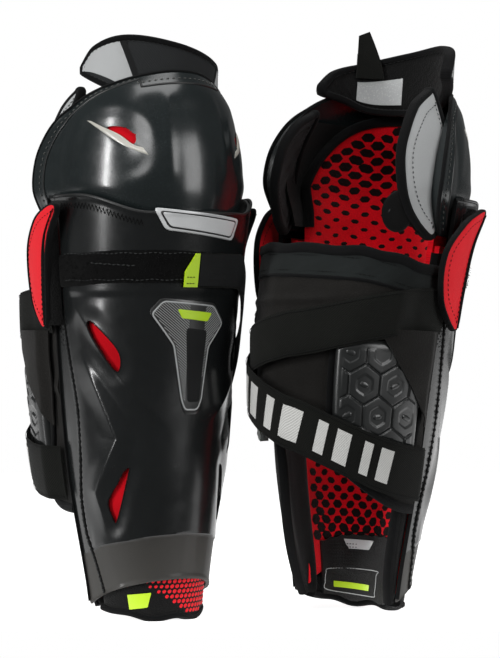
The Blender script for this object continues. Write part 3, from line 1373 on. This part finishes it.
# The badge's printed border and its slanted lines, each cut off where it would leave the badge
badge_loop = even(rounded(flat_points(BADGE), 2.5), 1.2, closed=True)
shape = Shape()
centre = badge_loop.mean(0)
inner = centre + (badge_loop - centre) * 0.93
a, z = inner[:, 0] / METRIC, inner[:, 1]
welt(shape, on_shin, a, z, shin_relief(a, z) + 1.05, oval(1.3, 0.5, 6), closed=True)
for k in range(-16, 72):
    for side in (-1, 1):
        t = np.linspace(0, 1, 60)
        x = 2.0 + side * (7.5 + 32 * t)
        z = 150 + k * 2.1 + 26 * t
        line = np.stack([x, z], axis=1)
        d, _ = edge_distance(line, badge_loop)
        inside = np.flatnonzero(d < -2.6)
        if len(inside) < 5:
            continue
        first = stop = inside[0]
        while stop + 1 < len(d) and d[stop + 1] < -2.6:
            stop += 1
        if stop - first < 4:
            continue
        pick = np.linspace(first, stop, max(3, (stop - first) // 5)).astype(int)
        a, zz = line[pick, 0] / METRIC, line[pick, 1]
        welt(shape, on_shin, a, zz, shin_relief(a, zz) + 1.05, oval(0.5, 0.35, 4))
place("badge_lines", shape, "shin", badge_line)
shape = raised([(-6, 238), (9, 236), (6.5, 178), (-2.5, 178)], 0.9, 0.45, 2)
place("badge_strip", shape, "shin", smooth_label)
shape = raised([(-12, 253), (12, 250), (9, 243), (-9, 245.5)], 0.9, 0.6, 1)
place("badge_bar", shape, "shin", lime)

# ---------------------------------------------------------------- free ends of the calf straps
STRAP_THICK = 1.8

shape = Shape()
strap(shape, on_shin, (50, 88), ramped(150, 201, 44, 46), steady(18), ramped(1.6, 2.8, 60, 26), STRAP_THICK)
place("upper_strap_end", shape, "upper_end", strap_cloth, ["upper_strap_end"])
shape = Shape()
height, half = ramped(284, 195, 30, 60), ramped(14, 22, 30, 60)
strap(shape, on_shin, (-2, 88), height, half, ramped(3, 5.8, 50, 30), STRAP_THICK, 110)
place("lower_strap_end", shape, "lower_end", strap_cloth, ["lower_strap_end"])
shape = Shape()
strap(shape, on_shin, (-1.5, 36), steady(284.25), steady(12.75), steady(4.9), 0.5, 40, 8, 0.05)
place("strap_label", shape, "lower_end", smooth_label, sharp=50)
shape = Shape()
for height, half in ((282, 1), (287.25, 0.75), (277.05, 0.55)):
    strap(shape, on_shin, (5, 27), steady(height), steady(half), steady(5.3), 0.25, 16, 2, 0.0)
place("strap_label_lines", shape, "lower_end", smooth_label, sharp=50)
shape = Shape()
u, v = spread(15, 19, 0)
z = mix(270.5, 297.5, v) + 0 * u
a = mix(-10 + 5.5 * np.clip((z - 283) / 14, 0, 1), -2.2, u)
shape.slab(on_shin(a, z, 5.4), on_shin(a, z, 3.0), unrolled(a, z))
place("pull_tab", shape, "lower_end", lime, ["pull_tab"])
shape = Shape()
a = np.linspace(-9, -3.4, 20)
for height in (273.5, 278.5):
    z = np.full(20, height)
    sewn(shape, on_shin, a, z, 5.4, 1.8, 0.8, 0.7)
place("pull_tab_stitches", shape, "lower_end", dark_thread)

# ---------------------------------------------------------------- calf wrap, pad and straps
WRAP_FROM, WRAP_TO = 0.008, 0.93  # shares of the calf loop
wrap_bottom = ramped(90, 158, 0, 0.7)
upper_height, lower_height = ramped(253, 202, 0, 1), ramped(119, 193, 0, 1)
UPPER_HALF, LOWER_HALF = 19, 22
ON_WRAP, ON_PAD = 3.4, 10.6
onto_pad, off_pad = ramped(ON_WRAP, ON_PAD, 0.1, 0.1), ramped(ON_PAD, ON_WRAP, 0.5, 0.45)
lower_onto_pad = ramped(ON_WRAP, ON_PAD + 3, 0, 0.05)


def band_dip(s):
    return 4 * np.sin(math.pi * s) - 9 * smooth((0.35 - s) / 0.35) - 3 * smooth((s - 0.6) / 0.4)


def upper_off(s):
    return np.where(s < 0.5, onto_pad(s), off_pad(s))


def lower_off(s):
    return np.where(s < 0.5, lower_onto_pad(s), upper_off(s) + 3)


def off_straps(s, z):
    """Millimetres from a place to the nearest strap's edge, negative under a strap."""
    return np.minimum(np.abs(z - upper_height(s)) - UPPER_HALF, np.abs(z - lower_height(s)) - LOWER_HALF)


def bare(s, z):
    """1 where the wrap lies free, 0 where a strap or the pad presses on it."""
    pad = np.maximum(np.maximum(0.05 - s, s - 0.39) * CALF_METRIC, np.maximum(133 - z, z - 227))
    return smooth(np.minimum(off_straps(s, z), pad) / 9)


def wrap_folds(s, z):
    """Loose diagonal folds that run between the straps."""
    x = s * CALF_METRIC
    folds = 1.7 * np.exp(-(((z - 214 - 0.22 * (x - 120) - 6 * np.sin(x * 0.03)) / 5) ** 2))
    folds += 1.3 * np.exp(-(((z - 228 + 0.30 * (x - 160)) / 4) ** 2)) * smooth((x - 90) / 50)
    folds += 1.2 * np.exp(-(((x - 214 - 0.4 * (z - 230)) / 5) ** 2))
    folds += 1.5 * np.exp(-(((z - 262 + 0.05 * x) / 3.4) ** 2)) * smooth((x - 10) / 40)
    folds += 1.0 * np.exp(-(((x - 60 + 0.7 * (z - 110)) / 6) ** 2)) * smooth((150 - z) / 20)
    return folds


share, rise = spread(121, 91, 0)
s = mix(WRAP_FROM, WRAP_TO, share) + 0 * rise
z = mix(wrap_bottom(s), 270 + band_dip(s), rise)
free = bare(s, z)
rest = wrap_folds(s, z) * free + 0.35 * np.sin(s * 60 + z * 0.11) * np.sin(z * 0.13 - s * 22) * free
shape = Shape()
shape.slab(on_calf(s, z, rest + 1.7), on_calf(s, z, rest + 0.3), wrap_uv(s, z))
# Sheets: the flat size in metres, how it is held, what it lies on, and its area in square metres
place("calf_wrap", shape, "calf", wrap_mesh, ["calf_wrap"])

shape = Shape()
s = np.linspace(WRAP_FROM, WRAP_TO, 110)
welt(shape, on_calf, s, wrap_bottom(s), 1.0, oval(8.5, 3.2, 12, 2.8))
s, z = np.full(60, WRAP_TO), np.linspace(150, 268, 60)
shape.sweep(on_calf(s, z, 1.2), normals_of(on_calf, s - 0.01, z), oval(7, 3.4, 12, 2.8))
place("calf_wrap_binding", shape, "calf", binding)

share, rise = spread(121, 25, 0)
s = mix(WRAP_FROM, WRAP_TO, share) + 0 * rise
z = mix(270.6, 291, rise) + band_dip(s)
soft = 0.3 * np.sin(s * 46) * np.sin(z * 0.2)
shape = Shape()
shape.slab(on_calf(s, z, 2.2 + soft), on_calf(s, z, 0.5 + soft), wrap_uv(s, z))
place("calf_wrap_band", shape, "calf", slate_knit, ["calf_wrap_band"])
shape = Shape()
s = np.linspace(WRAP_FROM, WRAP_TO, 150)
welt(shape, on_calf, s, 292.5 + 0.8 * np.sin(s * 40) + band_dip(s), 1.3, oval(9, 5.0, 14, 2.8))
welt(shape, on_calf, s, 270.2 + band_dip(s), 1.6, oval(3.4, 2.6, 10))
place("calf_band_binding", shape, "calf", binding)
shape = Shape()
s = np.linspace(0.02, 0.92, 300)
for height in (287.2, 274.6):
    sewn(shape, on_calf, s, height + band_dip(s), 2.2, 2.4, 1.0, 1.0)
place("calf_band_stitches", shape, "calf", dark_thread)

# The calf pad: a moulded face of hexagon facets with channels and a few raised pills
PAD_HEX = 29.0
PAD_FROM, PAD_TO, PAD_FOOT, PAD_HEAD = 0.06, 0.38, 134, 226


def hex_middle(row, col):
    return (col + 0.5 * (row % 2)) * PAD_HEX, 140 + row * PAD_HEX * 0.866


def hexagons(x, z):
    """Distance from each place to the edge of its hexagon cell, and the cell's middle."""
    best = np.full(np.shape(x), 1e9)
    second = best.copy()
    cx = np.zeros(np.shape(x))
    cz = np.zeros(np.shape(x))
    for row in range(-1, 6):
        for col in range(-2, 6):
            hx, hz = hex_middle(row, col)
            d = np.hypot(x - hx, z - hz)
            closer = d < best
            second = np.where(closer, best, np.minimum(second, d))
            cx, cz = np.where(closer, hx, cx), np.where(closer, hz, cz)
            best = np.where(closer, d, best)
    return (second - best) / 2, cx, cz


def pad_face(s, z):
    x = (s - PAD_FROM) * CALF_METRIC
    edge, cx, cz = hexagons(x, z)
    facet = 1.1 * smooth((edge - 0.4) / 1.0) - 0.7 * smooth((edge - 6.0) / 2.0)
    tilt = 0.035 * ((x - cx) * math.cos(1.1) + (z - cz) * math.sin(1.1))
    rim_x = np.minimum(s - PAD_FROM, PAD_TO - s) * CALF_METRIC
    rim = np.minimum(rim_x, np.minimum(z - PAD_FOOT, PAD_HEAD - z))
    edging = np.sqrt(np.clip(1 - (1 - np.clip(rim / 6, 0, 1)) ** 2, 0, 1))
    return 7.4 * (0.35 + 0.65 * edging) + (facet + tilt - 0.6) * smooth((rim - 6) / 3)


share, rise = spread(141, 151, 0)
s, z = mix(PAD_FROM, PAD_TO, share) + 0 * rise, mix(PAD_FOOT, PAD_HEAD, rise) + 0 * share
face = pad_face(s, z)
face = mix(np.minimum(face, 6.2), face, smooth((off_straps(s, z) + 2) / 4))
shape = Shape()
shape.slab(on_calf(s, z, 2.6 + face), on_calf(s, z, 2.4), wrap_uv(s, z))
place("calf_pad", shape, "calf", calf_rubber, ["calf_pad"], sharp=24)
shape = Shape()
for row in range(4):
    for col in range(4):
        x0, z0 = hex_middle(row, col)
        under_corner = x0 < 0.225 * CALF_METRIC * np.clip((z0 - 158) / 78, 0, 1)
        if under_corner or not 8 < x0 < 80 or not 142 < z0 < 220:
            continue
        lean = 0.5 * math.sin(row * 2.1 + col * 1.3)
        t = np.linspace(-1, 1, 13)
        ss, zz = PAD_FROM + (x0 + 4.2 * t) / CALF_METRIC, z0 + 4.2 * t * lean
        bow = np.sqrt(1 - np.abs(t) ** 4 * 0.92)
        welt(shape, on_calf, ss, zz, 2.6 + pad_face(ss, zz), oval(4.4, 2.2, 12), taper=bow)
place("calf_pad_pills", shape, "calf", calf_rubber)
shape = Shape()
corners = [(0.052, 140), (0.062, 226), (0.2, 231), (0.36, 228)]
corners += [(0.388, 215), (0.388, 145), (0.36, 132), (0.2, 130)]
loop = even(round_path([(s * CALF_METRIC, z) for s, z in corners], 8), 2.0, closed=True)
s, z = loop[:, 0] / CALF_METRIC, loop[:, 1]
welt(shape, on_calf, s, z, 3.0, oval(6.0, 4.2, 12, 2.6), closed=True)
place("calf_pad_binding", shape, "calf", binding)

for name, height, half, off in (
    ("upper_strap", upper_height, UPPER_HALF, upper_off),
    ("lower_strap", lower_height, LOWER_HALF, lower_off),
):
    shape = Shape()
    strap(shape, on_calf, (WRAP_FROM, 0.975), height, steady(half), off, STRAP_THICK, 200, 12, 0.15)
    place(name, shape, "calf", strap_cloth, [name])
    shape = Shape()
    s = np.linspace(0.012, 0.97, 260)
    for side in (-1, 1):
        z = height(s) + side * (half - 2.2)
        welt(shape, on_calf, s, z, off(s) + STRAP_THICK + 0.05, oval(0.9, 0.35, 6))
    place(name + "_welts", shape, "calf", webbing)

# A triangle of the wrap's cloth over the pad's upper outer corner
shape = Shape()
u, v = spread(31, 31, 0)
z = mix(158, 236, v) + 0 * u
s = mix(0.02, 0.025 + 0.225 * v**1.1, u)
lift = 10.2 + 0.4 * np.sin(z * 0.12 + s * 30) - 5.5 * smooth((0.05 - s) / 0.03)
shape.slab(on_calf(s, z, lift + 1.2), on_calf(s, z, lift), wrap_uv(s, z))
place("pad_corner", shape, "calf", wrap_mesh)

# Elastic tabs on the wrap's inner end
for name, low_at, high_at in (("upper_sleeve", 225, 245), ("lower_sleeve", 136, 166)):
    shape = Shape()
    u, v = spread(21, 31, 0)
    s, z = mix(0.84, 0.925, u) + 0 * v, mix(low_at, high_at, v) + 0 * u
    round_off = (1 - np.abs(2 * u - 1) ** 6) * (1 - np.abs(2 * v - 1) ** 6)
    puff = 3.0 * np.sqrt(round_off) + 0.35 * np.cos(v * math.pi * 10) * round_off
    shape.slab(on_calf(s, z, 3.4 + puff), on_calf(s, z, 3.2), wrap_uv(s, z))
    place(name, shape, "calf", pale_sleeve, [name])

# Slanted bars printed along the lower strap
shape = Shape()
FIRST_BAR, BAR_STEP = 0.16, 0.075  # shares of the calf loop
u, v = spread(9, 15, 0)
for k in range(8):
    wide = 0.030 if k % 2 else 0.046
    s = FIRST_BAR + BAR_STEP * k + wide * u + 0.022 * (1 - v)
    z = lower_height(s) + mix(-14, 14, v)
    top = on_calf(s, z, lower_off(s) + STRAP_THICK + 0.35)
    under = on_calf(s, z, lower_off(s) + STRAP_THICK - 0.4)
    shape.slab(top, under, wrap_uv(s, z))
place("lower_strap_print", shape, "calf", white_print, sharp=60)

# ---------------------------------------------------------------- sewing along the shell's flanks
seam_line = even(round_path(flat_points(SEAM), 8, closed=False), 1.0)
shape, channel = Shape(), Shape()
count = np.arange(len(seam_line))
ragged = 1 + 0.22 * np.sin(count * 1.9) + 0.14 * np.sin(count * 0.83)
for side in (-1, 1):
    a, z = side * (seam_line[:, 0] / METRIC + 1.2), seam_line[:, 1]
    path, out = on_shin(a, z, shin_relief(a, z) + 0.15), normals_of(on_shin, a, z)
    channel.sweep(path, out, oval(3.0, 1.3, 8), taper=ragged)
    stitches(shape, path + 0.3 * out, out, 3.2, 2.0, 1.3)
place("flank_channel", channel, "shin", dark_thread)
place("flank_stitches", shape, "shin", grey_thread)
shape = Shape()
a = np.linspace(-82, -34, 49)
z = shell_top(a) - 9.5 + 2.2 * np.where(np.arange(49) % 2, 1, -1)
welt(shape, on_shin, a, z, shin_relief(a, z) + 0.25, oval(0.9, 0.7, 6))
place("top_zigzag", shape, "shin", dark_thread, sharp=80)
shape = Shape()
a = np.linspace(-88, 88, 180)
z = shell_top(a) - 0.8
welt(shape, on_shin, a, z, shin_relief(a, z) - 0.6, oval(2.2, 2.2, 10))
place("shell_top_bead", shape, "shin", badge_film)
shape = Shape()
for side in (-1, 1):
    for row in range(15):
        for col in range(2):
            a0 = side * (87.4 + 2.2 * col)
            z0 = 224 + row * 4.2 + 2.1 * col
            t = np.arange(8) / 8 * 2 * math.pi
            a, z = a0 + np.cos(t) * 0.62, z0 + np.sin(t) * 0.85
            mid = float(shin_relief(a0, z0))
            ring = on_shin(a, z, shin_relief(a, z) + 0.06)
            shape.fan(ring, on_shin(a0, z0, mid + 0.25), on_shin(a0, z0, mid - 0.4))
place("flange_dots", shape, "shin", dark_thread)

# ---------------------------------------------------------------- padding swollen by a cloth simulation
# Each pad's cover is blown up between its seams: how far it may move in metres, the pressure, and the seams
PADS = {
    "knee_wing_outer": (0.0010, 4, ["knee_wing_outer_binding", "knee_wing_outer_stitches"]),
    "knee_wing_inner": (0.0010, 4, ["knee_wing_inner_binding", "knee_wing_inner_stitches"]),
    "side_wing_outer": (0.0009, 14, ["side_wing_outer_binding", "side_wing_outer_stitches"]),
    "side_wing_inner": (0.0009, 14, ["side_wing_inner_binding", "side_wing_inner_stitches"]),
    "ankle_tongue": (0.0007, 10, ["tongue_binding", "tongue_dots", "tongue_size_label"]),
    "liner_borders": (0.0008, 2, ["liner_border_binding"]),
    "knee_wing_lobe": (0.0008, 14, ["knee_wing_outer_binding"]),
}
LAST_FRAME = 16
SEAM_REACH = 0.0018  # a cover's points this near to a seam are held


def seam_tree(names):
    """The seams' points, for finding how near a cover's point is to them."""
    points = [v.co for name in names for v in bpy.data.meshes[name].vertices]
    tree = KDTree(len(points))
    for k, point in enumerate(points):
        tree.insert(point, k)
    tree.balance()
    return tree


def cloth_trial(name, pressure, seams):
    """A copy of a cover with Cloth on it, pinned along its seams."""
    trial = bpy.data.objects.new("trial_" + name, bpy.data.meshes[name].copy())
    bpy.context.scene.collection.objects.link(trial)
    tree = seam_tree(seams)
    held = trial.vertex_groups.new(name="held")
    held.add([v.index for v in trial.data.vertices if tree.find(v.co)[2] < SEAM_REACH], 1.0, "REPLACE")
    swell = trial.modifiers.new("swell", "CLOTH")
    cloth = swell.settings
    cloth.quality, cloth.mass = 4, 0.1
    cloth.use_pressure, cloth.uniform_pressure_force = True, pressure
    cloth.effector_weights.gravity = 0
    cloth.vertex_group_mass = "held"
    swell.collision_settings.use_collision = False
    swell.collision_settings.use_self_collision = False
    swell.point_cache.frame_end = LAST_FRAME
    return trial


def places_of(mesh):
    out = np.empty(len(mesh.vertices) * 3)
    mesh.vertices.foreach_get("co", out)
    return out.reshape(-1, 3)


trials = {name: cloth_trial(name, pressure, seams) for name, (_, pressure, seams) in PADS.items()}
for step in range(1, LAST_FRAME + 1):
    bpy.context.scene.frame_set(step)
depsgraph = bpy.context.evaluated_depsgraph_get()
for name, trial in trials.items():
    mesh = bpy.data.meshes[name]
    blown = trial.evaluated_get(depsgraph).to_mesh()
    rest = places_of(mesh)
    move = places_of(blown) - rest
    far = np.linalg.norm(move, axis=1, keepdims=True)
    cap = PADS[name][0]
    move *= cap * np.tanh(far / cap) / np.maximum(far, 1e-9)
    mesh.vertices.foreach_set("co", (rest + move).ravel())
    mesh.update()
for trial in trials.values():
    spare = trial.data
    bpy.data.objects.remove(trial)
    bpy.data.meshes.remove(spare)
bpy.context.scene.frame_set(1)


# ---------------------------------------------------------------- stage, light and camera
floor = bpy.data.meshes.new("floor")
floor.from_pydata([(-1.6, -0.125, 0), (1.9, -0.125, 0), (1.9, 2.2, 0), (-1.6, 2.2, 0)], [], [(0, 1, 2, 3)])
ground = bpy.data.objects.new("floor", floor)
bpy.context.scene.collection.objects.link(ground)
look = Look("floor", 0.9)
paper = look.noise(look.place("Object"), 2.0)
look.color(look.ramp(paper, (0.3, (0.86, 0.86, 0.86)), (0.7, (0.89, 0.89, 0.89))))
look.give(look.shader, {"Emission Color": (1, 1, 1, 1), "Emission Strength": 0.9})
floor.materials.append(look.mat)
ground.location.z = -0.0005

# A white backdrop to the camera, a dim room to everything else
world = bpy.data.worlds.new("studio")
world.use_nodes = True
tree = world.node_tree
room = tree.nodes["Background"]
room.inputs["Color"].default_value = (1, 1, 1, 1)
room.inputs["Strength"].default_value = 0.12
backdrop = tree.nodes.new("ShaderNodeBackground")
backdrop.inputs["Color"].default_value = (1, 1, 1, 1)
chooser = tree.nodes.new("ShaderNodeMixShader")
tree.links.new(tree.nodes.new("ShaderNodeLightPath").outputs["Is Camera Ray"], chooser.inputs[0])
tree.links.new(room.outputs[0], chooser.inputs[1])
tree.links.new(backdrop.outputs[0], chooser.inputs[2])
tree.links.new(chooser.outputs[0], tree.nodes["World Output"].inputs["Surface"])
bpy.context.scene.world = world
bpy.context.scene.view_settings.view_transform = "Standard"


def area_light(name, spot, aim, width, height, power):
    lamp = bpy.data.lights.new(name, "AREA")
    lamp.shape = "RECTANGLE"
    lamp.size, lamp.size_y, lamp.energy = width, height, power
    obj = bpy.data.objects.new(name, lamp)
    bpy.context.scene.collection.objects.link(obj)
    obj.location = spot
    obj.rotation_euler = (Vector(aim) - Vector(spot)).to_track_quat("-Z", "Y").to_euler()


middle = Vector((0.092, 0, 0.237))
area_light("key", (-1.75, -1.3, 0.72), middle, 0.2, 1.5, 40)
area_light("fill", (1.7, -1.35, 0.7), middle, 0.9, 1.5, 24)
area_light("front", (-0.75, -1.9, 1.25), middle, 0.5, 0.6, 9)
area_light("top", (0.1, -0.5, 2.0), middle, 1.4, 0.8, 16)

VIEW_DISTANCE, VIEW_HEIGHT = 2.25, 0.548
lens = bpy.data.cameras.new("camera")
lens.sensor_width = 36
lens.lens = 36 * VIEW_DISTANCE / VIEW_HEIGHT
camera = bpy.data.objects.new("camera", lens)
bpy.context.scene.collection.objects.link(camera)
camera.location = middle + Vector((0, -VIEW_DISTANCE, 0))
camera.rotation_euler = Vector((0, 1, 0)).to_track_quat("-Z", "Y").to_euler()
bpy.context.scene.camera = camera
